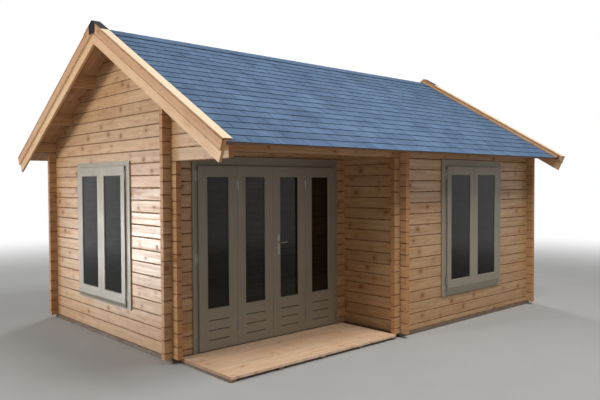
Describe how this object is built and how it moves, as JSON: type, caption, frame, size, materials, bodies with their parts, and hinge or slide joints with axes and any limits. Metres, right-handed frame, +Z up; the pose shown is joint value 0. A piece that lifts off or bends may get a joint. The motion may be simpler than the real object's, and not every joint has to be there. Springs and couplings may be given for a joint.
{
  "type": "log cabin",
  "caption": "Log cabin of interlocking planed logs with a recessed porch, folding glazed doors, casement windows and a shingled gable roof.",
  "frame": {"origin": "at ground level, under the middle of the roof in plan", "axes": "+X along the ridge, from the porch end to the window end; +Y from the front to the back; +Z up"},
  "size_m": [6.138, 4.9602, 3.6552],
  "materials": {
    "logs": "oiled spruce logs with visible knots",
    "foundation": "dark impregnated timber",
    "floor": "plain planed boards",
    "deck": "fine-ribbed boards, light brown",
    "roof_timber": "planed spruce",
    "bargeboard": "planed pale spruce",
    "shingle": "slate-blue mineral-faced felt",
    "end_cap": "black folded felt",
    "joinery": "taupe grey paint, satin",
    "glass": "clear pane, dark behind",
    "hardware": "satin steel"
  },
  "bodies": {
    "root": {"gable_left_low": "logs", "gable_left_near": "logs", "gable_left_far": "logs", "gable_left_top": "logs", "porch_side_wall": "logs", "gable_right": "logs", "front_wall_low": "logs", "front_wall_near": "logs", "front_wall_far": "logs", "front_wall_top": "logs", "door_wall_left": "logs", "door_wall_right": "logs", "door_wall_top": "logs", "back_wall": "logs", "eave_logs": "logs", "foundation_beams_long": "foundation", "foundation_beams_cross": "foundation", "floor_joists": "floor", "floor_boards_back": "floor", "floor_boards_front": "floor", "deck_joists": "deck", "deck_boards": "deck", "purlins": "roof_timber", "roof_boards_front": "roof_timber", "roof_boards_back": "roof_timber", "bargeboards_left": "bargeboard", "bargeboards_right": "bargeboard", "verge_caps_left": "bargeboard", "verge_caps_right": "bargeboard", "shingles_front": "shingle", "shingles_back": "shingle", "ridge_cap": "shingle", "ridge_end_caps": "end_cap", "door_frame": "joinery", "door_leaf_1": "joinery", "door_leaf_2": "joinery", "door_leaf_3": "joinery", "door_leaf_4": "joinery", "front_window_frame": "joinery", "front_window_sashes": "joinery", "gable_window_frame": "joinery", "gable_window_sashes": "joinery", "door_glass": "glass", "front_window_glass": "glass", "gable_window_glass": "glass", "door_hinges": "hardware", "window_hinges": "hardware", "door_handle": "hardware"}
  },
  "joints": []
}
